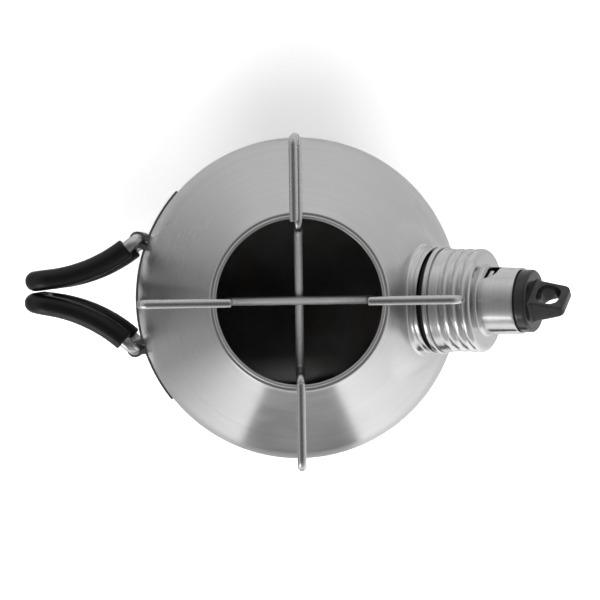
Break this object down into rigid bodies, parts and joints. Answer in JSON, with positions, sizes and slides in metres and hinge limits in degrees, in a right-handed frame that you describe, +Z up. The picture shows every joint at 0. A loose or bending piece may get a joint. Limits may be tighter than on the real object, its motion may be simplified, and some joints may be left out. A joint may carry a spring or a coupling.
{
  "type": "storm kettle",
  "caption": "Camp kettle with a water jacket round a central chimney, on a fire bowl, with a screw-on whistle cap, folding handles and a wire pot support.",
  "frame": {"origin": "on the chimney's axis, on the fire bowl's flat underside", "axes": "+Z up along the chimney, +X towards the spout, handles on the -X side, fuel port on the -Y side"},
  "size_m": [0.2598, 0.158, 0.2346],
  "materials": {
    "body_steel": "satin",
    "cap_steel": "half bright",
    "wire_steel": "drawn wire",
    "fire_steel": "sooted inside",
    "silicone": "satin",
    "knob_plastic": "moulded"
  },
  "bodies": {
    "fire_base": {"fire_bowl": "fire_steel"},
    "kettle": {"outer_shell": "body_steel", "chimney": "fire_steel", "jacket_floor": "body_steel", "spout_neck": "cap_steel", "neck_gasket": "silicone", "handle_bracket": "body_steel"},
    "left_handle": {"left_handle_wire": "wire_steel", "left_grip_sleeve": "silicone"},
    "right_handle": {"right_handle_wire": "wire_steel", "right_grip_sleeve": "silicone"},
    "cap_seal": {"cap_liner": "silicone"},
    "cap": {"whistle_cap": "cap_steel", "whistle_tower": "cap_steel", "whistle_plate": "cap_steel", "loop_knob": "knob_plastic"},
    "pot_support": {"upper_support_wire": "wire_steel", "lower_support_wire": "wire_steel"}
  },
  "joints": [
    {"name": "kettle_lift", "type": "slide", "parent": "fire_base", "child": "kettle", "axis": [0, 0, 1], "range_m": [0, 0.15]},
    {"name": "left_handle_fold", "type": "hinge", "parent": "kettle", "child": "left_handle", "pos_m": [-0.07916, 0.0287, 0.1103], "axis": [0, 0, -1], "range_deg": [0, 145]},
    {"name": "right_handle_fold", "type": "hinge", "parent": "kettle", "child": "right_handle", "pos_m": [-0.08038, -0.02508, 0.1103], "axis": [0, 0, 1], "range_deg": [0, 145]},
    {"name": "cap_lift", "type": "slide", "parent": "kettle", "child": "cap_seal", "axis": [0.8988, 0, 0.4384], "range_m": [0, 0.0207]},
    {"name": "cap_turn", "type": "hinge", "parent": "cap_seal", "child": "cap", "pos_m": [0.0604, 0, 0.18072], "axis": [0.8988, 0, 0.4384], "range_deg": [0, 1620]},
    {"name": "pot_support_lift", "type": "slide", "parent": "kettle", "child": "pot_support", "axis": [0, 0, 1], "range_m": [0, 0.06]}
  ],
  "couplings": [
    {"joint": "cap_turn", "follows": "cap_lift", "rad_per_m": 1365.9}
  ]
}
